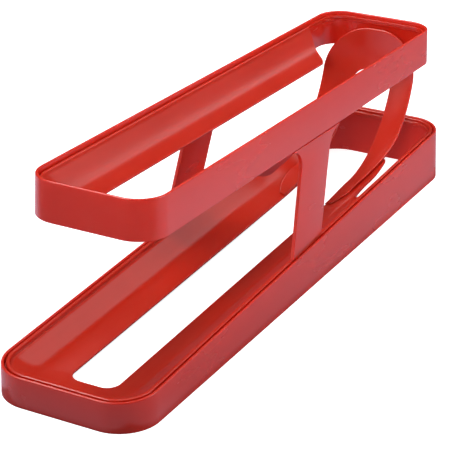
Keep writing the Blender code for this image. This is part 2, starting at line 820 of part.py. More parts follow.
def chute(material):
    """A dished sheet, thin at its tips, cut to its arched outline, slot and tips."""
    half = CHUTE_HALF_WIDTH + SIDE_OVERRUN
    shape = bmesh.new()
    rows = []
    for middle, facing, sheet in chute_path():
        blend = smooth((middle.x - CHUTE_TIP_Y) / CHUTE_TIP_RUN)
        back = []
        face = []
        for step in range(DISH_STEPS + 1):
            x = mix(-half, half, step / DISH_STEPS)
            point = middle + facing * mix(trough_rise(x, middle.x), dish(x), blend)
            back.append(shape.verts.new((x, point.x, point.y)))
            point += facing * sheet
            face.append(shape.verts.new((x, point.x, point.y)))
        rows.append(back + face[::-1])
    for this, following in zip(rows, rows[1:]):
        for index in range(len(this)):
            after = (index + 1) % len(this)
            shape.faces.new((this[index], this[after], following[after], following[index]))
    for row in (rows[0], rows[-1]):
        for index in range(DISH_STEPS):
            shape.faces.new((row[index], row[index + 1], row[-2 - index], row[-1 - index]))
    bmesh.ops.recalc_face_normals(shape, faces=shape.faces)
    mesh = bpy.data.meshes.new("chute")
    shape.to_mesh(mesh)
    shape.free()
    item = finish("chute", mesh, material)
    combine(item, chute_outline(), "INTERSECT")
    combine(item, chute_slot(), "DIFFERENCE")
    for tip in chute_tips():
        combine(item, tip, "DIFFERENCE")
    combine(item, chute_hook(), "UNION")
    return item


def trough_rise(x, y):
    """How far the lower trough's panel at x lies above the chute's middle line."""
    panel_width = LOWER_SHELF_HALF_WIDTH - LOWER_SLOT_WIDTH / 2
    fall = panel_fall((LOWER_SHELF_HALF_WIDTH - abs(x)) / panel_width)
    panel = lower_rim(y) - SHELF_STEP - (lower_slot_depth(y) - SHELF_STEP) * fall
    return panel - lower_floor(y)


def chute_outline():
    """The arched front view: points are (x, z)."""
    half = CHUTE_HALF_WIDTH
    radius = half - CHUTE_TOP_FLAT / 2
    centre = (half - radius, CHUTE_TOP_HEIGHT - radius)
    points = [Vector((0, CHUTE_TOP_HEIGHT))]
    points += reversed(arc(centre, radius, 0, QUARTER, ROUND_STEPS))
    points += [Vector((half, -OVERRUN)), Vector((0, -OVERRUN))]
    return plate("chute_outline", mirrored(points), 2 * LOWER_LENGTH, ALONG_Y)


def chute_slot():
    half = LOWER_SLOT_WIDTH / 2
    centre = (half - CHUTE_SLOT_RADIUS, CHUTE_SLOT_TOP - CHUTE_SLOT_RADIUS)
    points = [Vector((0, CHUTE_SLOT_TOP))]
    points += reversed(arc(centre, CHUTE_SLOT_RADIUS, 0, QUARTER, ROUND_STEPS))
    points += [Vector((half, -OVERRUN)), Vector((0, -OVERRUN))]
    return plate("chute_slot", mirrored(points), 2 * LOWER_LENGTH, ALONG_Y)


def chute_tips():
    """Cutters that narrow the chute's two legs to their tips, one for each side."""
    slot = LOWER_SLOT_WIDTH / 2
    half = CHUTE_HALF_WIDTH
    tip = slot + CHUTE_TIP_WIDTH
    narrow = slot + CHUTE_NARROW_WIDTH
    points = [Vector((half + OVERRUN, CHUTE_FULL_Y)), Vector((half, CHUTE_FULL_Y))]
    for step in range(1, ROUND_STEPS + 1):
        share = step / ROUND_STEPS
        y = mix(CHUTE_FULL_Y, CHUTE_NARROW_Y, share)
        points.append(Vector((mix(half, narrow, smooth(share)), y)))
    for step in range(1, ROUND_STEPS + 1):
        share = step / ROUND_STEPS
        y = mix(CHUTE_NARROW_Y, CHUTE_TIP_Y, share)
        points.append(Vector((mix(narrow, tip, share * share * share), y)))
    points += [Vector((tip, CHUTE_TIP_Y - OVERRUN)), Vector((half + OVERRUN, CHUTE_TIP_Y - OVERRUN))]
    place = Matrix.Translation((0, 0, LOWER_REAR_HEIGHT))
    right = plate("chute_tip_right", points, CUTTER_DEPTH, place)
    left_points = [Vector((-point.x, point.y)) for point in points]
    left = plate("chute_tip_left", left_points, CUTTER_DEPTH, place)
    return right, left


# The hook behind the chute's top, which drops into a pocket on the upper frame's rear wall

HOOK_TOP = CHUTE_TOP_HEIGHT - HOOK_TOP_DROP
POCKET_FRONT = CHUTE_BACK_Y + POCKET_GAP
HOOK_FRONT = POCKET_FRONT + POCKET_WALL + POCKET_GAP
HOOK_REAR = HOOK_FRONT + HOOK_THICKNESS


def chute_hook():
    """An L behind the chute: a web to the rear, with a tongue that hangs down."""
    half = HOOK_WIDTH / 2
    start = CHUTE_BACK_Y - CHUTE_SHEET / 2 - dish(half)
    points = [
        Vector((start, HOOK_TOP)),
        Vector((HOOK_REAR, HOOK_TOP)),
        Vector((HOOK_REAR, HOOK_TOP - HOOK_DROP)),
        Vector((HOOK_FRONT, HOOK_TOP - HOOK_DROP)),
        Vector((HOOK_FRONT, HOOK_TOP - HOOK_THICKNESS)),
        Vector((start, HOOK_TOP - HOOK_THICKNESS)),
    ]
    points.reverse()
    return plate("chute_hook", points, HOOK_WIDTH, ALONG_X)


def chute_pocket():
    """A bar in front of the hook, with a cheek at each end that joins it to the rear wall."""
    half = HOOK_WIDTH / 2 + POCKET_GAP
    top = HOOK_TOP - HOOK_THICKNESS - POCKET_GAP
    wall = UPPER_WALL_Y + WALL / 2
    outside = [
        Vector((-half - POCKET_WALL, wall)),
        Vector((-half - POCKET_WALL, POCKET_FRONT)),
        Vector((half + POCKET_WALL, POCKET_FRONT)),
        Vector((half + POCKET_WALL, wall)),
        Vector((half, wall)),
        Vector((half, POCKET_FRONT + POCKET_WALL)),
        Vector((-half, POCKET_FRONT + POCKET_WALL)),
        Vector((-half, wall)),
    ]
    place = Matrix.Translation((0, 0, top - POCKET_HEIGHT / 2))
    return plate("chute_pocket", outside, POCKET_HEIGHT, place)


def build():
    lower_frame(plastic("lower_frame_red", RED, 0.32))
    lower_trough(plastic("lower_trough_red", RED, 0.28))
    upper_frame(plastic("upper_frame_red", RED, 0.32))
    upper_trough(plastic("upper_trough_red", RED, 0.28))
    leg("leg_left", -1, plastic("leg_left_red", RED, 0.32))
    leg("leg_right", 1, plastic("leg_right_red", RED, 0.32))
    chute(plastic("chute_red", RED, 0.28))


build()
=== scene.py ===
"""Two-tier rolling egg dispenser in red plastic, dressed for the photograph's view."""

import math

import bmesh
import bpy
import numpy as np
from mathutils import Matrix, Vector


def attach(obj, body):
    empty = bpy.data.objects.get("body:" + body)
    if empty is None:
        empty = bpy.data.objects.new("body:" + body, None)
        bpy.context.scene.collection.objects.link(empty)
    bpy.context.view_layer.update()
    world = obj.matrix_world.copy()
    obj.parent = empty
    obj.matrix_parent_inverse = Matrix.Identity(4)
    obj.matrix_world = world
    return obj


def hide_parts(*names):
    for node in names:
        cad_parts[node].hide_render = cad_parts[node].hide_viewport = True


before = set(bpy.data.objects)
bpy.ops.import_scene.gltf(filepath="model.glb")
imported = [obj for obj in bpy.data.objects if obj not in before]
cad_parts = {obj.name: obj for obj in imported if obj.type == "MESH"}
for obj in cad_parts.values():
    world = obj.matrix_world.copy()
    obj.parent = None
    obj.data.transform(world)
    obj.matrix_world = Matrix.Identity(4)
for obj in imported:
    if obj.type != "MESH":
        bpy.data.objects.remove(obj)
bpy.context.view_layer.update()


# Lower frame
# One red polypropylene moulding: a thin drafted skirt, low at the front and high at the rear,
# that stands on the table. A ledge inside it, below the rim, carries the lower trough.

lower_length = 0.3863
lower_width = 0.0900
lower_radius = 0.0221
lower_front_height = 0.0169
lower_rear_height = 0.0326
lower_ledge_depth = 0.0035
lower_ledge_width = 0.0035
ledge_sheet = 0.0016
wall = 0.0016
draft = math.tan(math.radians(2.1))

# The legs' middle line passes through y and z with this lean. Their feet stand in windows.
leg_y = 0.0056
leg_z = 0.0540
leg_lean = 0.346
window_depth = 0.0018
window_half = 0.0153
window_top = 0.05


def along_lower(y, front, rear):
    """A measure of the lower tier that changes evenly from its front to its rear."""
    return front + (rear - front) * (y / lower_length + 0.5)


def lower_rim(y):
    return along_lower(y, lower_front_height, lower_rear_height)


def leg_middle(height):
    return leg_y + leg_lean * (height - leg_z)


def outline(half_width, front, rear, radius, corner=24, along=96, across=16):
    """Points and outward normals round a rounded rectangle, anticlockwise from above."""
    points = []
    normals = []
    side = half_width - radius
    back = rear - radius
    ahead = front + radius
    centres = ((side, back), (-side, back), (-side, ahead), (side, ahead))
    for index, centre in enumerate(centres):
        for step in range(corner + 1):
            angle = (index + step / corner) * math.pi / 2
            normal = np.array((math.cos(angle), math.sin(angle)))
            points.append(np.array(centre) + radius * normal)
            normals.append(normal)
        after = np.array(centres[(index + 1) % 4]) + radius * normals[-1]
        count = along if index % 2 else across
        start = points[-1]
        for step in range(1, count):
            points.append(start + (after - start) * step / count)
            normals.append(normals[-1])
    return np.array(points), np.array(normals)


def rounded_rings(corners, steps=4, most=0.49):
    """The rings of a section, each corner ring rounded off by the radius given with it.

    A rounding takes at most that share of the side next to it.
    """
    result = []
    rings = [ring for ring, radius in corners]
    for index, (here, radius) in enumerate(corners):
        if radius == 0:
            result.append(here)
            continue
        before = rings[index - 1] - here
        after = rings[(index + 1) % len(rings)] - here
        reach_before = np.linalg.norm(before, axis=1, keepdims=True)
        reach_after = np.linalg.norm(after, axis=1, keepdims=True)
        start = here + before * np.minimum(radius / reach_before, most)
        end = here + after * np.minimum(radius / reach_after, most)
        for step in range(steps + 1):
            t = step / steps
            result.append(start * (1 - t) ** 2 + here * 2 * t * (1 - t) + end * t * t)
    return result


def add_object(name, data):
    """A new object, linked into the scene."""
    item = bpy.data.objects.new(name, data)
    bpy.context.scene.collection.objects.link(item)
    return item


def as_mesh(name, shape):
    """The mesh of a bmesh, which is freed."""
    mesh = bpy.data.meshes.new(name)
    shape.to_mesh(mesh)
    shape.free()
    return mesh


def merged(name, meshes):
    """One mesh from several."""
    shape = bmesh.new()
    for mesh in meshes:
        shape.from_mesh(mesh)
    return as_mesh(name, shape)


def outward(name, points, faces, merge=0.0):
    """A mesh from points and faces, with the faces turned outward."""
    mesh = bpy.data.meshes.new(name)
    mesh.from_pydata(points, [], faces)
    shape = bmesh.new()
    shape.from_mesh(mesh)
    if merge > 0:
        bmesh.ops.remove_doubles(shape, verts=shape.verts, dist=merge)
    bmesh.ops.recalc_face_normals(shape, faces=shape.faces)
    shape.to_mesh(mesh)
    shape.free()
    return mesh


def loft(name, rings):
    """A closed piece through rings of equal count."""
    columns = len(rings[0])
    faces = []
    for row in range(len(rings)):
        this = row * columns
        following = (row + 1) % len(rings) * columns
        for column in range(columns):
            after = (column + 1) % columns
            faces.append((this + column, this + after, following + after, following + column))
    return add_object(name, outward(name, np.concatenate(rings).tolist(), faces))


def skirt_section(points, normals):
    """Rings of the skirt's section, with a rounded rim and a ledge inside."""
    rim = lower_rim(points[:, 1])

    def line(inset, drop=None):
        z = np.zeros(len(points)) if drop is None else rim - drop
        place = points - normals * (draft * z + inset)[:, None]
        return np.column_stack((place, z))

    ledge_edge = wall + lower_ledge_width
    ledge_bottom = lower_ledge_depth + ledge_sheet
    return rounded_rings([
        (line(0.0), 0.00035),
        (line(0.0, 0.0), 0.0007),
        (line(wall, 0.0), 0.0008),
        (line(wall, lower_ledge_depth), 0.0002),
        (line(ledge_edge, lower_ledge_depth), 0.0003),
        (line(ledge_edge, ledge_bottom), 0.0003),
        (line(wall, ledge_bottom), 0.0002),
        (line(wall), 0.00035),
    ])


def add_node(tree, kind, inputs=(), **settings):
    """A node with its settings, and its inputs set to values or linked to sockets."""
    node = tree.nodes.new(kind)
    for name, value in settings.items():
        setattr(node, name, value)
    for name, value in dict(inputs).items():
        if isinstance(value, bpy.types.NodeSocket):
            tree.links.new(value, node.inputs[name])
        else:
            node.inputs[name].default_value = value
    return node


def maths(tree, operation, *values):
    """The result of an operation on values or sockets."""
    node = add_node(tree, "ShaderNodeMath", enumerate(values), operation=operation)
    return node.outputs["Value"]


def smooth_range(tree, value, start, end, low=0.0, high=1.0):
    """A value that goes smoothly from low to high while another goes from start to end."""
    inputs = {"Value": value, "From Min": start, "From Max": end, "To Min": low, "To Max": high}
    node = add_node(tree, "ShaderNodeMapRange", inputs, interpolation_type="SMOOTHSTEP")
    return node.outputs["Result"]


def mixed(tree, share, first, second, kind="FLOAT"):
    """One value or colour or the other, by a share."""
    inputs = {"Factor": share, "A": first, "B": second}
    return add_node(tree, "ShaderNodeMix", inputs, data_type=kind).outputs["Result"]


def red_plastic(name, roughness, seed, scuffs=(90.0, 12.0, 90.0), red=0.74):
    """Moulded red polypropylene: satin gloss, fine grain, faint flow clouds and scuffs.

    The seed moves the pattern, scuffs is its scale along x, y and z, and red the red share.
    """
    uneven = 0.03
    dulled = 0.03
    paled = 0.22
    material = bpy.data.materials.new(name)
    material.use_nodes = True
    tree = material.node_tree
    shader = tree.nodes["Principled BSDF"]
    shader.inputs["Subsurface Weight"].default_value = 0.5
    shader.inputs["Subsurface Radius"].default_value = (1.0, 0.10, 0.05)
    shader.inputs["Subsurface Scale"].default_value = 0.003

    def mapped(vector, **changes):
        inputs = {"Vector": vector, **changes}
        return add_node(tree, "ShaderNodeMapping", inputs).outputs["Vector"]

    def noise(vector, scale, detail):
        inputs = {"Vector": vector, "Scale": scale, "Detail": detail}
        return add_node(tree, "ShaderNodeTexNoise", inputs).outputs["Fac"]

    def bump(height, strength, distance, **more):
        inputs = {"Height": height, "Strength": strength, "Distance": distance, **more}
        return add_node(tree, "ShaderNodeBump", inputs).outputs["Normal"]

    place = add_node(tree, "ShaderNodeTexCoord").outputs["Object"]
    shifted = mapped(place, Location=(seed, seed * 0.7, seed * 0.3))
    cloud = noise(shifted, scale=18.0, detail=4.0)
    scratched = noise(mapped(shifted, Scale=scuffs), scale=1.0, detail=2.0)
    worn = smooth_range(tree, scratched, start=0.40, end=0.95)

    colour = add_node(tree, "ShaderNodeValToRGB", {"Fac": cloud})
    darker, lighter = colour.color_ramp.elements
    darker.position = 0.30
    darker.color = (red - 0.05, 0.026, 0.011, 1)
    lighter.position = 0.70
    lighter.color = (red, 0.031, 0.014, 1)
    faded = (red, 0.050, 0.032, 1)
    base = mixed(
        tree, maths(tree, "MULTIPLY", worn, paled), colour.outputs["Color"], faded, "RGBA"
    )
    tree.links.new(base, shader.inputs["Base Color"])

    patchy = add_node(tree, "ShaderNodeMapRange", {
        "Value": cloud, "To Min": roughness - uneven, "To Max": roughness + uneven,
    })
    duller = maths(tree, "MULTIPLY_ADD", worn, dulled, patchy.outputs["Result"])
    tree.links.new(duller, shader.inputs["Roughness"])

    grain = noise(shifted, scale=1400.0, detail=2.0)
    wave = noise(shifted, scale=30.0, detail=1.0)
    fine = bump(grain, strength=0.03, distance=0.00002)
    soft = bump(wave, strength=0.5, distance=0.00015, Normal=fine)
    tree.links.new(soft, shader.inputs["Normal"])
    return material


def dress(item, node, body, material):
    """A finished piece: smooth, in its material, standing for its node on its body."""
    item.data.materials.clear()
    item.data.materials.append(material)
    item.data.shade_smooth()
    item.data.set_sharp_from_angle(angle=math.radians(35))
    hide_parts(node)
    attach(item, body)


def apply_cutters(item, cutters):
    """Cuts solids out of a piece and leaves a plain mesh."""
    for cutter in cutters:
        cut = item.modifiers.new("cut", "BOOLEAN")
        cut.operation = "DIFFERENCE"
        cut.solver = "MANIFOLD"
        cut.object = cutter
    evaluated = item.evaluated_get(bpy.context.evaluated_depsgraph_get())
    mesh = bpy.data.meshes.new_from_object(evaluated)
    item.modifiers.clear()
    old = item.data
    item.data = mesh
    bpy.data.meshes.remove(old)
    for cutter in cutters:
        bpy.data.objects.remove(cutter, do_unlink=True)


def box(low, high):
    """A bmesh box between two corners."""
    shape = bmesh.new()
    bmesh.ops.create_cube(shape, size=1)
    bmesh.ops.scale(shape, vec=Vector(high) - Vector(low), verts=shape.verts)
    bmesh.ops.translate(shape, vec=(Vector(low) + Vector(high)) / 2, verts=shape.verts)
    return shape


def block(low, high):
    """A sharp box as an object, to cut or to join."""
    return add_object("block", as_mesh("block", box(low, high)))


foot_y = leg_middle(lower_rim(leg_y))


def foot_windows():
    """Cutters that leave room for the feet of the two legs behind the skirt."""
    windows = []
    outer = lower_width / 2 - draft * lower_rim(foot_y) - wall
    for side in (-1, 1):
        xs = sorted((side * outer, side * (outer - window_depth)))
        low = (xs[0], foot_y - window_half, 0.0)
        windows.append(block(low, (xs[1], foot_y + window_half, window_top)))
    return windows


lower_frame = loft("skirt_lower", skirt_section(
    *outline(lower_width / 2, -lower_length / 2, lower_length / 2, lower_radius)
))
apply_cutters(lower_frame, foot_windows())
dress(lower_frame, "lower_frame", "base", red_plastic("skirt_lower_red", roughness=0.26, seed=1.0))


# Lower trough
# A liner dropped into the frame and held by its lip, with a groove left round it. Two curved
# panels fall to a long slot, and end short of the rear in tongues that the chute lies on.

shelf_inner = 0.0062
shelf_depth = 0.0020
slot_half = 0.0136
edge_width = lower_width / 2 - shelf_inner
lower_front_depth = 0.0118
lower_rear_depth = 0.0158
bend_start = 0.10444
bend_radius = 0.0700
chute_sheet = 0.0018
chute_lap = 0.0003
chute_half = 0.0310
dish_radius = 0.0600
dish_limit = 0.055
tip_run = 0.0280
tongue_length = 0.0355
tongue_spare = 0.0050
tongue_seam = 0.0070
tongue_limit = 0.05
lower_slot_start = 0.0287


def smooth(share):
    share = np.clip(share, 0.0, 1.0)
    return share * share * (3 - 2 * share)


def lower_depth(y):
    return along_lower(y, lower_front_depth, lower_rear_depth)


def fall(share, steep=1.75, shallow=0.45, ease=0.08):
    """How far a panel has fallen at a share of its width: a straight slope, then nearly flat."""

    def bent(at):
        slope = steep * at
        flat = 1 - shallow * (1 - at)
        return (slope + flat) / 2 - np.sqrt(((slope - flat) / 2) ** 2 + ease ** 2)

    return (bent(share) - bent(0)) / (bent(1) - bent(0))


def lower_sheet(x, y):
    """Height of a lower panel at x and y."""
    share = (edge_width - np.abs(x)) / (edge_width - slot_half)
    return lower_rim(y) - shelf_depth - (lower_depth(y) - shelf_depth) * fall(share)


def lower_floor(y):
    """Height of the sheet's line in the middle, where the chute's curve starts."""
    depth = (lower_depth(y) - shelf_depth) / math.sqrt(1 - (slot_half / edge_width) ** 2)
    return lower_rim(y) - shelf_depth - depth


def dish(x):
    """How far the chute's dished section stands above its middle line."""
    return dish_radius - np.sqrt(dish_radius ** 2 - np.minimum(np.abs(x), dish_limit) ** 2)


bend_height = lower_floor(bend_start) + bend_radius + chute_sheet + chute_lap


def tongue_surface(x, y, sheet, half_width):
    """The sheet's height, bent up behind to lie under the chute."""
    y = np.minimum(y, bend_start + tongue_length + tongue_spare)
    blend = smooth((y - bend_start + tip_run) / tip_run)
    flat = sheet + (lower_floor(y) + dish(x) - sheet) * blend
    radius = bend_radius + chute_sheet + chute_lap - dish(x)
    bent = bend_height - np.sqrt(radius ** 2 - np.clip(y - bend_start, 0, tongue_limit) ** 2)
    under = np.where(y < bend_start, flat, bent)
    under = np.where(blend == 0, sheet, under)
    return sheet + (under - sheet) * smooth((edge_width - half_width) / tongue_seam)


def trough_section(size, rim, inset_at, depth_at, surface=None, steps=30):
    """Rings of a trough: lip, shelf, the sheet down to the slot, and its underside."""
    edge = size["half_width"] - size["shelf_inner"]
    slot_rear = size["rear"] - size["shelf_inner"] - (edge - size["slot_half"])
    middle = (size["front"] + size["rear"]) / 2
    mean = float(depth_at(middle) - size["shelf_depth"])
    nudge = 0.01

    def place(inset, share, outset, drop):
        points, normals = outline(
            (size["half_width"] - inset) * (1 - share) + size["slot_half"] * share + outset,
            (size["front"] + inset) * (1 - share) + size["slot_front"] * share - outset,
            (size["rear"] - inset) * (1 - share) + slot_rear * share + outset,
            (size["radius"] - inset) * (1 - share) + size["slot_radius"] * share + outset,
            across=12,
        )
        points = points - normals * (inset_at(points[:, 1]) * (1 - share))[:, None]
        z = rim(points[:, 1]) - drop(points[:, 0], points[:, 1])
        return np.column_stack((points, z))

    def lip(inset, drop):
        return place(inset, 0.0, 0.0, lambda x, y: drop)

    def sheet(share, outset=0.0, lower=0.0):
        half_width = edge + (size["slot_half"] - edge) * share

        def drop(x, y):
            down = size["shelf_depth"] + (depth_at(y) - size["shelf_depth"]) * fall(share)
            if surface is not None:
                down = rim(y) - surface(x, y, rim(y) - down, half_width)
            return down + lower

        return place(size["shelf_inner"], share, outset, drop)

    def underside(share):
        """The sheet's line moved square to its slope by the sheet's thickness."""
        down = mean * float(fall(share + nudge) - fall(share - nudge))
        across = (edge - size["slot_half"]) * (2 * nudge)
        scale = size["sheet"] / math.hypot(across, down)
        return sheet(share, down * scale, across * scale)

    corners = [
        (lip(size["lip_outer"], size["lip_bottom"]), 0.0003),
        (lip(size["lip_outer"], size["lip_depth"]), 0.0006),
        (lip(size["lip_inner"], size["lip_depth"]), 0.0006),
    ]
    if size["shelf_inner"] > size["lip_inner"]:
        corners.append((lip(size["lip_inner"], size["shelf_depth"]), 0.0006))
        corners.append((sheet(0.0), 0.0007))
    shares = [step / steps for step in range(1, steps + 1)]
    corners += [(sheet(share), 0.0) for share in shares[:-1]]
    corners.append((sheet(1.0), 0.0005))
    corners.append((underside(1.0), 0.0005))
    corners += [(underside(share), 0.0) for share in reversed(shares[3:-1])]
    corners.append((lip(size["lip_inner"], size["lip_bottom"]), 0.0))
    return rounded_rings(corners)


def prism(points, low, high):
    """An upright solid over a flat outline, used to cut a piece."""
    shape = bmesh.new()
    base = [shape.verts.new((x, y, low)) for x, y in points]
    top = [shape.verts.new((x, y, high)) for x, y in points]
    shape.faces.new(base[::-1])
    shape.faces.new(top)
    for index in range(len(points)):
        after = (index + 1) % len(points)
        shape.faces.new((base[index], base[after], top[after], top[index]))
    bmesh.ops.recalc_face_normals(shape, faces=shape.faces)
    return add_object("cut", as_mesh("cut", shape))


def arc(centre, radius, start, end, steps=24):
    angles = np.linspace(start, end, steps + 1)
    return [(centre[0] + radius * math.cos(a), centre[1] + radius * math.sin(a)) for a in angles]


def both_sides(points):
    """A right-hand outline that starts and ends at x = 0, with its mirror image added."""
    return points + [(-x, y) for x, y in reversed(points) if x > 1e-6]


def round_corner(before, corner, after, radius, steps=10):
    """Points that round a corner between two straight lines."""
    corner = Vector(corner)
    to_before = (Vector(before) - corner).normalized()
    to_after = (Vector(after) - corner).normalized()
    half = to_before.angle(to_after) / 2
    middle = corner + (to_before + to_after).normalized() * radius / math.sin(half)
    start = corner + to_before * radius / math.tan(half) - middle
    sign = 1 if to_before.x * to_after.y - to_before.y * to_after.x < 0 else -1
    sweep = sign * (math.pi - 2 * half)
    turns = [Matrix.Rotation(sweep * step / steps, 2) for step in range(steps + 1)]
    return [tuple(turn @ start + middle) for turn in turns]


lower_size = {
    "half_width": lower_width / 2,
    "front": -lower_length / 2,
    "rear": lower_length / 2,
    "radius": lower_radius,
    "sheet": 0.0016,
    "lip_outer": 0.0026,
    "lip_inner": 0.0046,
    "lip_depth": 0.0,
    "lip_bottom": 0.0032,
    "shelf_inner": shelf_inner,
    "shelf_depth": shelf_depth,
    "slot_half": slot_half,
    "slot_front": -lower_length / 2 + lower_slot_start,
    "slot_radius": 0.0075,
}
lower_trough = loft("liner_lower", trough_section(
    lower_size, lower_rim, lambda y: draft * lower_rim(y), lower_depth, tongue_surface
))

# The cut that shapes the two tongues reaches a little past the sheet's edges.
cut_play = 0.0002
root_radius = 0.0300
root_run = 0.0120
tongue_inset = 0.0016
tongue_shortest = 0.0075
tongue_corner = 0.0030
tongue_half = chute_half - tongue_inset
inset = shelf_inner - cut_play + draft * lower_rear_height
rear = lower_length / 2 - inset
half_width = lower_width / 2 - inset
radius = lower_radius - inset
root = (tongue_half + root_radius, bend_start - root_run)
root_angle = math.pi + math.acos((root[0] - half_width) / root_radius)
tongue_inner = (slot_half - cut_play, bend_start + tongue_shortest)
tongue_outer = (tongue_half, bend_start + tongue_length)
cut = [(0.0, rear)]
cut += arc((half_width - radius, rear - radius), radius, math.pi / 2, 0)
cut += arc(root, root_radius, root_angle, math.pi)
cut += round_corner((tongue_half, root[1]), tongue_outer, tongue_inner, tongue_corner)
cut += [tongue_inner, (0.0, tongue_inner[1])]
apply_cutters(lower_trough, [prism(both_sides(cut), low=-0.02, high=0.08)] + foot_windows())
# This liner takes a darker red than the frames: partly its own tone as a separate moulding, partly
# painted shade that tones down its panels, which face the lights.
dress(lower_trough, "lower_trough", "base", red_plastic(
    "liner_lower_red", roughness=0.19, seed=2.0, scuffs=(120, 12, 120), red=0.63
))


# Upper frame
# A band of even height moulded in red polypropylene, tilted down to the rear, with a ledge
# inside for its trough and a small bar on the rear wall that the chute's hook drops behind.

upper_length = 0.3455
upper_width = 0.0736
upper_radius = 0.0167
upper_height = 0.0219
upper_ledge_depth = 0.0044
upper_slope = math.radians(2.01)
upper_centre = (0.0, 0.0107, 0.1057)
upper_place = Matrix.Translation(upper_centre) @ Matrix.Rotation(-upper_slope, 4, "X")
chute_top = 0.0933
chute_room = 0.0055
hook_drop = 0.0027
hook_sheet = 0.0012
hook_play = 0.0004
bar_half = 0.0088
bar_inner = 0.0074
bar_sheet = 0.0014
bar_height = 0.0090
bar_bite = 0.0008


def band_tree():
    """Geometry nodes: a rounded rectangle swept by the wall's and the ledge's sections."""
    tree = bpy.data.node_groups.new("band", "GeometryNodeTree")
    tree.is_modifier = True
    kinds = {
        "NodeSocketFloat": (
            "Length", "Width", "Corner Radius", "Wall", "Height", "Edge Radius",
            "Ledge Width", "Ledge Depth", "Ledge Thickness", "Draft",
        ),
        "NodeSocketInt": ("Corner Steps", "Edge Steps"),
        "NodeSocketMaterial": ("Material",),
    }
    sockets = {}
    for kind, names in kinds.items():
        for name in names:
            socket = tree.interface.new_socket(name, in_out="INPUT", socket_type=kind)
            sockets[name] = socket.identifier
    tree.interface.new_socket("Geometry", in_out="OUTPUT", socket_type="NodeSocketGeometry")
    given = tree.nodes.new("NodeGroupInput").outputs

    def rounded_rectangle(width, height, radius, steps):
        rectangle = add_node(tree, "GeometryNodeCurvePrimitiveQuadrilateral", {
            "Width": width, "Height": height,
        })
        return add_node(tree, "GeometryNodeFilletCurve", {
            "Curve": rectangle.outputs["Curve"], "Radius": radius, "Count": steps,
        }, mode="POLY").outputs["Curve"]

    def moved(geometry, x, y):
        offset = add_node(tree, "ShaderNodeCombineXYZ", {"X": x, "Y": y})
        return add_node(tree, "GeometryNodeSetPosition", {
            "Geometry": geometry, "Offset": offset.outputs["Vector"],
        }).outputs["Geometry"]

    path = rounded_rectangle(
        given["Width"], given["Length"], given["Corner Radius"], given["Corner Steps"]
    )
    upright = add_node(tree, "GeometryNodeSetCurveNormal", {"Curve": path}, mode="Z_UP")

    def swept(width, height, inset, depth):
        """A section hung below the rim and inside the outline, leaning with the draft."""
        section = rounded_rectangle(width, height, given["Edge Radius"], given["Edge Steps"])
        across = maths(tree, "ADD", inset, maths(tree, "MULTIPLY", width, 0.5))
        down = maths(tree, "ADD", depth, maths(tree, "MULTIPLY", height, 0.5))
        hung = moved(section, maths(tree, "MULTIPLY", across, -1.0), down)
        place = add_node(tree, "GeometryNodeInputPosition").outputs["Position"]
        parts = add_node(tree, "ShaderNodeSeparateXYZ", {"Vector": place})
        lean = maths(tree, "MULTIPLY", parts.outputs["Y"], given["Draft"])
        return add_node(tree, "GeometryNodeCurveToMesh", {
            "Curve": upright.outputs["Curve"], "Profile Curve": moved(hung, lean, 0.0),
        }).outputs["Mesh"]

    zero = maths(tree, "MULTIPLY", given["Wall"], 0.0)
    sunk = maths(tree, "MULTIPLY", given["Wall"], 0.7)
    band = swept(given["Wall"], given["Height"], zero, zero)
    ledge = swept(
        maths(tree, "ADD", given["Ledge Width"], sunk), given["Ledge Thickness"],
        maths(tree, "MULTIPLY", given["Wall"], 0.3), given["Ledge Depth"],
    )
    united = add_node(tree, "GeometryNodeMeshBoolean", operation="UNION", solver="EXACT")
    for mesh in (band, ledge):
        tree.links.new(mesh, united.inputs["Mesh 2"])
    real = add_node(tree, "GeometryNodeRealizeInstances", {"Geometry": united.outputs["Mesh"]})
    painted = add_node(tree, "GeometryNodeSetMaterial", {
        "Geometry": real.outputs["Geometry"], "Material": given["Material"],
    })
    add_node(tree, "NodeGroupOutput", {"Geometry": painted.outputs["Geometry"]})
    return tree, sockets


upper_red = red_plastic("band_upper_red", roughness=0.26, seed=3.0)
tree, sockets = band_tree()
upper_frame = add_object("band_upper", bpy.data.meshes.new("band_upper"))
rule = upper_frame.modifiers.new("band", "NODES")
rule.node_group = tree
values = {
    "Length": upper_length,
    "Width": upper_width,
    "Corner Radius": upper_radius,
    "Wall": wall,
    "Height": upper_height,
    "Edge Radius": 0.0007,
    "Ledge Width": 0.0012,
    "Ledge Depth": upper_ledge_depth,
    "Ledge Thickness": ledge_sheet,
    "Draft": draft,
    "Corner Steps": 28,
    "Edge Steps": 5,
    "Material": upper_red,
}
for name, value in values.items():
    rule[sockets[name]] = value
evaluated = upper_frame.evaluated_get(bpy.context.evaluated_depsgraph_get())
upper_frame.data = bpy.data.meshes.new_from_object(evaluated)
upper_frame.modifiers.clear()
upper_frame.data.transform(upper_place)

wall_y = upper_centre[1] + upper_length / 2 * math.cos(upper_slope) - wall
bar_front = wall_y - chute_room + hook_play
bar_top = chute_top - hook_drop - hook_sheet - hook_play
bar = []
for low_x, high_x, back in (
    (-bar_half, bar_half, bar_front + bar_sheet),
    (-bar_half, -bar_inner, wall_y + bar_bite),
    (bar_inner, bar_half, wall_y + bar_bite),
):
    bar.append(block((low_x, bar_front, bar_top - bar_height), (high_x, back, bar_top)))
upper_frame.data = merged("band_upper", [part.data for part in [upper_frame] + bar])
for part in bar:
    bpy.data.objects.remove(part, do_unlink=True)
dress(upper_frame, "upper_frame", "deck", upper_red)


# Upper trough
# The upper liner: its lip lies inside the band a little below the rim. Two curved panels fall
# to the slot and stop short of the rear wall, where the eggs drop on to the chute.

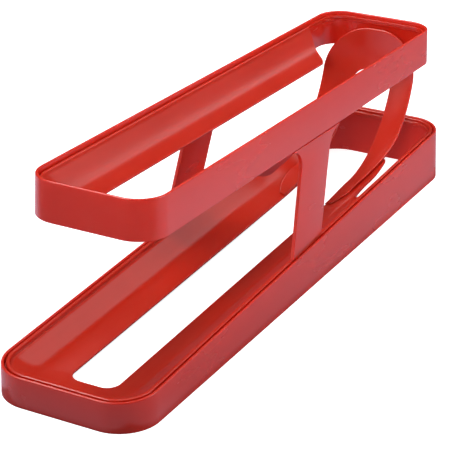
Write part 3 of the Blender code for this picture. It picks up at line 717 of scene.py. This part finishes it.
upper_shelf_inner = 0.0036
upper_slot_half = 0.0134
upper_slot_start = 0.0250
upper_depth = 0.0181
drop_length = 0.0544
panel_end_angle = math.radians(39.7)
panel_corner = 0.0120
upper_size = {
    "half_width": upper_width / 2,
    "front": -upper_length / 2,
    "rear": upper_length / 2,
    "radius": upper_radius,
    "sheet": 0.0012,
    "lip_outer": 0.0020,
    "lip_inner": 0.0036,
    "lip_depth": 0.0025,
    "lip_bottom": 0.0041,
    "shelf_inner": upper_shelf_inner,
    "shelf_depth": 0.0029,
    "slot_half": upper_slot_half,
    "slot_front": -upper_length / 2 + upper_slot_start,
    "slot_radius": 0.0065,
}
upper_trough = loft("liner_upper", trough_section(
    upper_size, lambda y: y * 0, lambda y: y * 0, lambda y: upper_depth + 0 * y
))
inset = upper_shelf_inner - cut_play
rear = upper_length / 2 - inset
half_width = upper_width / 2 - inset
radius = upper_radius - inset
slot = upper_slot_half - cut_play
panel_end = upper_length / 2 - drop_length
corner = (slot, panel_end)
side_point = (half_width, panel_end + (half_width - slot) * math.tan(panel_end_angle))
cut = [(0.0, rear)]
cut += arc((half_width - radius, rear - radius), radius, math.pi / 2, 0)
cut += [side_point]
cut += round_corner(side_point, corner, (slot, -upper_length / 2), panel_corner)
cut += [(0.0, cut[-1][1])]
apply_cutters(upper_trough, [prism(both_sides(cut), low=-0.04, high=0.04)])
upper_trough.data.transform(upper_place)
# This liner takes a darker red than the frames: partly its own tone as a separate moulding, partly
# painted shade that tones down its panels, which face the lights.
dress(upper_trough, "upper_trough", "deck", red_plastic(
    "liner_upper_red", roughness=0.19, seed=4.0, scuffs=(120, 12, 120), red=0.63
))


# Legs
# Two T-shaped plates of the same plastic, splayed to meet both bands. A tenon at each end plugs
# in behind the walls: the foot into the lower groove, the head through the upper ledge.

leg_thickness = 0.0021
leg_width = 0.0349
leg_gap = 0.0003
leg_edge = 0.0003
fillet_drop = 0.0008
front_fillet = 0.0085
rear_fillet = 0.0140
tenon = 0.0012
tenon_half = 0.0150
tenon_reach = 0.0080
tenon_play = 0.0002
tenon_edge = 0.0002
pad_half = 0.0160
pad_reach = 0.0090
pad_gap = 0.0006


def band_bottom(y):
    rim = upper_centre[2] - math.tan(upper_slope) * (y - upper_centre[1])
    return rim - upper_height / math.cos(upper_slope) - leg_gap


def leg_outline():
    """The T-shaped side view as (y, z)."""

    def edge(side, height):
        return leg_middle(height) + side * leg_width / 2, height

    def foot(side):
        y = edge(side, lower_rim(leg_y))[0]
        return y, lower_rim(y) + leg_gap

    def crossing(side):
        y = edge(side, band_bottom(leg_y))[0]
        return edge(side, band_bottom(y) - fillet_drop)

    front = crossing(-1)
    rear = crossing(1)
    slope = -math.tan(upper_slope)
    behind = round_corner(foot(1), rear, (rear[0] + 1, rear[1] + slope), rear_fillet, 20)
    ahead = round_corner((front[0] - 1, front[1] - slope), front, foot(-1), front_fillet, 20)
    tops = [(y, band_bottom(y)) for y in (behind[-1][0], ahead[0][0])]
    return behind + tops + ahead + [foot(-1), foot(1)]


def rounded_plate(name, outline, thickness, edge, place):
    """A flat outline given a thickness and rounded edges, centred on its plane."""
    curve = bpy.data.curves.new(name, "CURVE")
    curve.dimensions = "2D"
    curve.fill_mode = "BOTH"
    curve.extrude = thickness / 2 - edge
    curve.bevel_depth = edge
    curve.bevel_resolution = 3
    curve.offset = -edge
    spline = curve.splines.new("POLY")
    spline.points.add(len(outline) - 1)
    for target, point in zip(spline.points, outline):
        target.co = (point[0], point[1], 0, 1)
    spline.use_cyclic_u = True
    drawn = add_object(name, curve)
    evaluated = drawn.evaluated_get(bpy.context.evaluated_depsgraph_get())
    mesh = bpy.data.meshes.new_from_object(evaluated)
    bpy.data.objects.remove(drawn, do_unlink=True)
    bpy.data.curves.remove(curve)
    shape = bmesh.new()
    shape.from_mesh(mesh)
    bmesh.ops.remove_doubles(shape, verts=shape.verts, dist=1e-6)
    bmesh.ops.recalc_face_normals(shape, faces=shape.faces)
    bmesh.ops.transform(shape, matrix=place, verts=shape.verts)
    shape.to_mesh(mesh)
    shape.free()
    return mesh


def soft_block(low, high, edge, place=Matrix.Identity(4)):
    """A box with rounded edges, as a mesh."""
    shape = box(low, high)
    edges = shape.edges[:]
    bmesh.ops.bevel(shape, geom=edges, offset=edge, segments=3, profile=0.5, affect="EDGES")
    bmesh.ops.transform(shape, matrix=place, verts=shape.verts)
    return as_mesh("block", shape)


along_x = Matrix(((0, 0, 1, 0), (1, 0, 0, 0), (0, 1, 0, 0), (0, 0, 0, 1)))
foot_height = lower_rim(foot_y)
foot_x = lower_width / 2 - draft * foot_height - wall - leg_gap
leg_top = band_bottom(leg_middle(upper_centre[2] - upper_height))
top_x = upper_width / 2 + draft * upper_height
splay = math.atan((foot_x - top_x) / (leg_top - foot_height))
flat = [(y, (z - leg_top) / math.cos(splay)) for y, z in leg_outline()]
head_y = (leg_middle(leg_top + leg_gap) - upper_centre[1]) / math.cos(upper_slope)
for name, side, seed in (("leg_left", -1, 5.0), ("leg_right", 1, 6.0)):
    place = (
        Matrix.Translation((side * top_x, 0, leg_top))
        @ Matrix.Rotation(-side * splay, 4, "Y")
        @ Matrix.Translation((-side * leg_thickness / 2, 0, 0))
        @ along_x
    )
    plate = rounded_plate(name, flat, leg_thickness, leg_edge, place)
    xs = sorted((side * (foot_x - tenon_play), side * (foot_x - tenon)))
    foot = soft_block(
        (xs[0], foot_y - tenon_half, foot_height - tenon_reach),
        (xs[1], foot_y + tenon_half, foot_height + leg_thickness),
        tenon_edge,
    )
    wall_place = (
        upper_place
        @ Matrix.Translation((side * (upper_width / 2 - wall - leg_gap), head_y, 0))
        @ Matrix.Rotation(-side * math.atan(draft), 4, "Y")
    )
    xs = sorted((0.0, -side * tenon))
    head = soft_block(
        (xs[0], -tenon_half, -upper_height - tenon_reach),
        (xs[1], tenon_half, -upper_ledge_depth),
        tenon_edge,
        wall_place,
    )
    xs = sorted((side * (wall + leg_gap - leg_thickness / 2), -side * tenon / 2))
    pad = soft_block(
        (xs[0], -pad_half, -upper_height - pad_reach),
        (xs[1], pad_half, -upper_height - pad_gap),
        leg_edge,
        wall_place,
    )
    leg = add_object("side_" + name, merged("side_" + name, [plate, foot, head, pad]))
    dress(leg, name, "deck", red_plastic("side_" + name + "_red", roughness=0.26, seed=seed))


# Chute
# A dished slide with an arched top and a slot up its middle, moulded in the same plastic. Its
# two thin tips lie on the tongues of the lower trough, and a hook behind its top holds it up.

arch_radius = 0.0270
arch_width = 0.0263
slot_top = chute_top - arch_width
slot_corner = 0.0100
tip_start = bend_start - tip_run
tip_sheet = 0.0005
narrow_y = bend_start + 0.0035
full_y = bend_start + 0.0435
tip_x = slot_half + 0.0035
narrow_x = slot_half + 0.0095
edge_round = 0.0006
leg_count = 130
arch_count = 90
width_steps = 14
hook_half = 0.0070
hook_length = 0.0080
hook_edge = 0.0002


def chute_rise(x, y):
    """How far the section stands above its middle line, for the flat run behind the tips."""
    blend = smooth((y - tip_start) / tip_run)
    trough = lower_sheet(x, y) - lower_floor(y)
    return trough + (dish(x) - trough) * blend


def chute_place(x, run, height):
    """The point at x, at a run along the middle line, and a height above the back."""
    y = bend_start + run
    thin = np.clip(-run / tip_run, 0, 1)
    height = height * (1 - thin * (1 - tip_sheet / chute_sheet))
    low_z = lower_floor(y) + chute_lap + chute_rise(x, y) + height
    radius = bend_radius + chute_sheet - dish(x) - height
    angle = np.clip(run / bend_radius, 0, math.pi / 2)
    bend_y = bend_start + radius * np.sin(angle)
    bend_z = bend_height - radius * np.cos(angle) + np.maximum(run - bend_radius * math.pi / 2, 0)
    flat = run < 0
    return np.column_stack((x, np.where(flat, y, bend_y), np.where(flat, low_z, bend_z)))


def run_at_y(x, y):
    """The run of the point of the sheet at x and y."""
    radius = bend_radius + chute_sheet / 2 - dish(x)
    return np.where(
        y < bend_start, y - bend_start,
        bend_radius * np.arcsin(np.clip((y - bend_start) / radius, -1, 1)),
    )


def run_at_z(x, z):
    """The run of the point of the sheet at x and z."""
    x, z = np.array(x), np.array(z)
    radius = bend_radius + chute_sheet / 2 - dish(x)
    turned = bend_radius * np.arccos(np.clip((bend_height - z) / radius, -1, 1))
    return float(np.where(z < bend_height, turned, bend_radius * math.pi / 2 + z - bend_height))


def spaced(points, count):
    """Points at even distances along a line."""
    points = np.array(points)
    steps = np.concatenate(([0], np.cumsum(np.linalg.norm(np.diff(points, axis=0), axis=1))))
    at = np.linspace(0, steps[-1], count)
    return np.column_stack([np.interp(at, steps, points[:, k]) for k in range(2)])


# Both edges as (x, run): up the side, then over the arch.
ys = np.linspace(tip_start, full_y, 80)
share = np.clip((ys - tip_start) / (narrow_y - tip_start), 0, 1)
xs = np.where(
    ys < narrow_y,
    narrow_x + (tip_x - narrow_x) * (1 - share) ** 3,
    narrow_x + (chute_half - narrow_x) * smooth((ys - narrow_y) / (full_y - narrow_y)),
)
outer = list(zip(xs, run_at_y(xs, ys)))
arch_z = chute_top - arch_radius
full_run = outer[-1][1]
arch_run = run_at_z(chute_half, arch_z)
outer += [(chute_half, full_run + (arch_run - full_run) * t) for t in np.linspace(0, 1, 20)[1:]]
outer_arch = arc((chute_half - arch_radius, arch_z), arch_radius, 0, math.pi / 2, 40)[1:]
outer += [(x, run_at_z(x, z)) for x, z in outer_arch + [(0.0, chute_top)]]
outer = np.array(outer)
slot_z = slot_top - slot_corner
slot_run = run_at_z(slot_half, slot_z)
slot_arch = arc((slot_half - slot_corner, slot_z), slot_corner, 0, math.pi / 2, 40)
inner_arch = [(x, run_at_z(x, z)) for x, z in slot_arch + [(0.0, slot_top)]]

# The same count of points on both: at even runs up the side, at even distances over the arch.
split = np.searchsorted(outer[:, 1], slot_run)
runs = np.linspace(-tip_run, slot_run, leg_count)
outer_leg = np.column_stack((np.interp(runs, outer[:split + 1, 1], outer[:split + 1, 0]), runs))
inner_leg = np.column_stack((np.full(leg_count, slot_half), runs))
outer_top = spaced(np.vstack((outer_leg[-1:], outer[split:])), arch_count)
inner_top = spaced(inner_arch, arch_count)
outer = np.vstack((outer_leg, outer_top[1:]))
inner = np.vstack((inner_leg, inner_top[1:]))
mirror = np.array((-1, 1))
outer = np.vstack((outer, outer[-2::-1] * mirror))
inner = np.vstack((inner, inner[-2::-1] * mirror))


def band_line(share, inset, height):
    """A line along the chute between its inner and outer edges, inset from the nearer one."""
    span = outer - inner
    width = np.linalg.norm(span, axis=1, keepdims=True)
    most = width * 0.4
    point = inner + span * share + span / width * np.minimum(inset, most)
    return chute_place(point[:, 0], point[:, 1], np.full(len(point), height))


def edge_lines(share, upper):
    """Lines that round one edge, from the sheet's side to its upper or lower face."""
    rounded = []
    for turn in np.linspace(0, math.pi / 2, 5):
        inset = edge_round * (1 - math.cos(turn)) * (1 - 2 * share)
        rise = edge_round * math.sin(turn)
        height = chute_sheet - edge_round + rise if upper else edge_round - rise
        rounded.append(band_line(share, inset, height))
    return rounded


between = [step / width_steps for step in range(1, width_steps)]
lines = (
    edge_lines(0, True)
    + [band_line(share, 0, chute_sheet) for share in between]
    + edge_lines(1, True)[::-1]
    + edge_lines(1, False)
    + [band_line(share, 0, 0.0) for share in reversed(between)]
    + edge_lines(0, False)[::-1]
)
rows = len(lines)
columns = len(lines[0])
faces = []
for row in range(rows):
    this = row * columns
    following = (row + 1) % rows * columns
    for column in range(columns - 1):
        after = column + 1
        faces.append((this + column, this + after, following + after, following + column))
faces.append([row * columns for row in range(rows)])
faces.append([row * columns + columns - 1 for row in reversed(range(rows))])
sheet = outward("slide", np.concatenate(lines).tolist(), faces, merge=1e-7)

back_y = bend_start + bend_radius + chute_sheet
hook_top = chute_top - hook_drop
hook_front = back_y + hook_play + bar_sheet + hook_play
hook_back = hook_front + hook_sheet
web_start = back_y - chute_sheet / 2 - float(dish(hook_half))
web_low = (-hook_half, web_start, hook_top - hook_sheet)
tongue_low = (-hook_half, hook_front, hook_top - hook_length)
hook_high = (hook_half, hook_back, hook_top)
web = soft_block(web_low, hook_high, hook_edge)
tongue = soft_block(tongue_low, hook_high, hook_edge)
chute = add_object("slide", merged("slide", [sheet, web, tongue]))
# The chute takes a darker red than the frames: partly its own tone as a separate moulding, partly
# painted shade that tones down its dish, which faces the lights.
dress(chute, "chute", "deck", red_plastic(
    "slide_red", roughness=0.22, seed=7.0, scuffs=(90, 20, 20), red=0.64
))


# Floor
# A wide white sweep. The camera sees paper white, through the slots too, with hardly any shadow:
# inside the footprint the floor glows brighter, painted light that washes that shadow out.
# Bounced and mirrored rays see greys that stand for the room round the real piece, with painted
# shade on the floor close to its foot and under it.

reach = 6.0
floor_corners = [(-reach, -reach, 0), (reach, -reach, 0), (reach, reach, 0), (-reach, reach, 0)]
floor_mesh = bpy.data.meshes.new("floor")
floor_mesh.from_pydata(floor_corners, [], [(0, 1, 2, 3)])
floor = add_object("floor", floor_mesh)
floor_material = bpy.data.materials.new("floor_white")
floor_material.use_nodes = True
tree = floor_material.node_tree
paper = tree.nodes["Principled BSDF"].inputs
paper["Roughness"].default_value = 0.9
paper["Specular IOR Level"].default_value = 0.0
rays = tree.nodes.new("ShaderNodeLightPath").outputs
where = tree.nodes.new("ShaderNodeTexCoord").outputs["Object"]
along = add_node(tree, "ShaderNodeSeparateXYZ", {"Vector": where}).outputs["Y"]
footprint = (lower_width / 2, lower_length / 2, 0)
distance = where
for operation, second in (("ABSOLUTE", None), ("SUBTRACT", footprint), ("MAXIMUM", (0, 0, 0))):
    node = add_node(tree, "ShaderNodeVectorMath", {0: distance}, operation=operation)
    if second is not None:
        node.inputs[1].default_value = second
    distance = node.outputs["Vector"]
distance = add_node(tree, "ShaderNodeVectorMath", {0: distance}, operation="LENGTH")


def by_distance(near, far, reach):
    """A value that goes from near, at the object's foot, to far."""
    return smooth_range(tree, distance.outputs["Value"], 0.0, reach, near, far)


def by_length(front, rear, start, end):
    """A value that goes from front to rear along the floor."""
    return smooth_range(tree, along, start, end, front, rear)


# Bounced light sees the floor darker close to the piece's foot: painted shade. Mirrored rays see
# only the floor's glow.
unseen = maths(tree, "SUBTRACT", 1.0, rays["Is Glossy Ray"])
bounce_with_painted_shade = maths(tree, "MULTIPLY", by_distance(near=0.18, far=0.52, reach=0.15), unseen)
white = mixed(tree, rays["Is Camera Ray"], bounce_with_painted_shade, (0.85, 0.86, 0.90, 1), "RGBA")
tint = mixed(tree, rays["Is Camera Ray"], (0.72, 0.80, 1, 1), (1, 1, 1, 1), "RGBA")
tree.links.new(white, paper["Base Color"])
tree.links.new(tint, paper["Emission Color"])

# What the plastic mirrors, the floor's glow for glossy rays: dark ahead of the piece, brighter
# close to it and to the rear. Beside the front half of the piece it is dimmer by the foot than
# further out, and under the piece only a quarter as bright: painted shadow. The floor changes
# within brim outside the footprint.
brim = 0.004
foot = by_length(front=0.48, rear=0.74, start=-0.15, end=0.18)
side = by_length(front=1.16, rear=0.62, start=0.00, end=0.40)
beside = mixed(tree, by_distance(near=0.0, far=1.0, reach=0.12), foot, side)
ahead = by_distance(near=1.00, far=0.44, reach=0.10)
mirrored = mixed(tree, by_length(front=0.0, rear=1.0, start=-0.20, end=-0.13), ahead, beside)
# Painted shadow: under the piece the mirrored glow falls to a quarter.
for share in (by_distance(near=0.25, far=1.0, reach=brim), rays["Is Glossy Ray"]):
    mirrored = maths(tree, "MULTIPLY", mirrored, share)
# Painted light: behind the chute, under the piece, the floor glows for bounced rays and lights the
# rear walls.
painted_light_rear = by_length(front=0.0, rear=0.65, start=0.07, end=0.12)
for share in (by_distance(near=1.0, far=0.0, reach=brim), rays["Is Diffuse Ray"]):
    painted_light_rear = maths(tree, "MULTIPLY", painted_light_rear, share)
lit = maths(tree, "ADD", mirrored, painted_light_rear)
# The camera sees the floor glow brighter inside the footprint than outside: painted light that
# hides the piece's shadow seen through the slots.
seen = by_distance(near=0.92, far=0.72, reach=brim)
glow = maths(tree, "MULTIPLY_ADD", rays["Is Camera Ray"], seen, lit)
tree.links.new(glow, paper["Emission Strength"])
floor_mesh.materials.append(floor_material)


# Lights
# The key stands low on the right, a small one in front lights the chute through the frame, and
# a soft box hangs above on the left. The world adds the windows and the sky that show in gloss.


def soft_box(name, place, target, size, power, tint=(1, 1, 1)):
    light = bpy.data.lights.new(name, "AREA")
    light.shape = "RECTANGLE"
    light.size, light.size_y = size
    light.energy = power
    light.color = tint
    item = add_object(name, light)
    item.location = place
    item.rotation_euler = (Vector(target) - Vector(place)).to_track_quat("-Z", "Y").to_euler()
    return item


soft_box(
    "key", place=(1.30, 0.55, 0.35), target=(0, 0.05, 0.05), size=(0.6, 0.5), power=5.6,
    tint=(0.96, 0.98, 1.0),
)
snoot = soft_box(
    "snoot", place=(0.30, -0.85, 0.45), target=(0, 0.19, 0.06), size=(0.2, 0.2), power=0.07
)
snoot.data.spread = math.radians(20)
snoot.visible_glossy = False
soft_box("top", place=(-0.62, 0.0, 1.35), target=(0, 0, 0.05), size=(0.45, 0.45), power=3.2)

world = bpy.data.worlds.new("studio")
bpy.context.scene.world = world
world.use_nodes = True
tree = world.node_tree
view = tree.nodes.new("ShaderNodeTexCoord").outputs["Generated"]
parts = add_node(tree, "ShaderNodeSeparateXYZ", {"Vector": view}).outputs


def ramp(axis, start, end, low=0.0, high=1.0):
    """A value that follows one axis of the direction looked in."""
    return smooth_range(tree, parts[axis], start, end, low, high)


def product(*values):
    result = values[0]
    for value in values[1:]:
        result = maths(tree, "MULTIPLY", result, value)
    return result


# A window low behind on the right, a wide dim box in front on the left, a bright strip above.
front_left = (-0.62, -0.72, 0.30)
window = product(
    ramp("X", -0.05, 0.12), ramp("Z", 0.30, 0.46, low=0.0, high=1.2), ramp("Y", -0.1, 0.3)
)
toward = add_node(tree, "ShaderNodeVectorMath", {0: view, 1: front_left}, operation="DOT_PRODUCT")
front_box = smooth_range(tree, toward.outputs["Value"], 0.72, 0.93, low=0.04, high=0.9)
overhead = product(
    ramp("Z", 0.62, 0.76, low=0.0, high=7.0),
    ramp("X", -0.62, -0.50),
    ramp("X", -0.36, -0.26, low=1.0, high=0.0),
)
mirrored = maths(tree, "ADD", maths(tree, "ADD", window, front_box), overhead)
# Diffuse light: an even sky, dimmer in front, and half of what is mirrored.
sky = product(
    ramp("Z", -0.2, 0.6, low=0.36, high=0.46), ramp("Y", -0.8, 0.0, low=0.45, high=1.0)
)
sky = maths(tree, "ADD", sky, maths(tree, "MULTIPLY", mirrored, 0.5))
rays = tree.nodes.new("ShaderNodeLightPath").outputs
chosen = mixed(tree, rays["Is Glossy Ray"], sky, mirrored)
strength = mixed(tree, rays["Is Camera Ray"], chosen, 1.0)
tree.links.new(strength, tree.nodes["Background"].inputs["Strength"])
tree.nodes["Background"].inputs["Color"].default_value = (1, 1, 1, 1)


# Camera
# Solved from the straight edges of the photograph, for a square frame. The focal length was
# found in pixels of the 470-pixel picture.

camera_place = (0.4400, -0.8148, 0.4541)
camera_turn = Matrix((
    (0.87714, -0.20253, 0.43545),
    (0.48024, 0.37191, -0.79439),
    (-0.00106, 0.90591, 0.42348),
))
focal_pixels = 1782.71
picture_pixels = 470
sensor = 36.0
camera_data = bpy.data.cameras.new("camera")
camera_data.sensor_width = sensor
camera_data.lens = focal_pixels / picture_pixels * sensor
camera_data.clip_start = 0.01
camera = add_object("camera", camera_data)
camera.matrix_world = Matrix.Translation(camera_place) @ camera_turn.to_4x4()
bpy.context.scene.camera = camera
bpy.context.scene.view_settings.view_transform = "Standard"
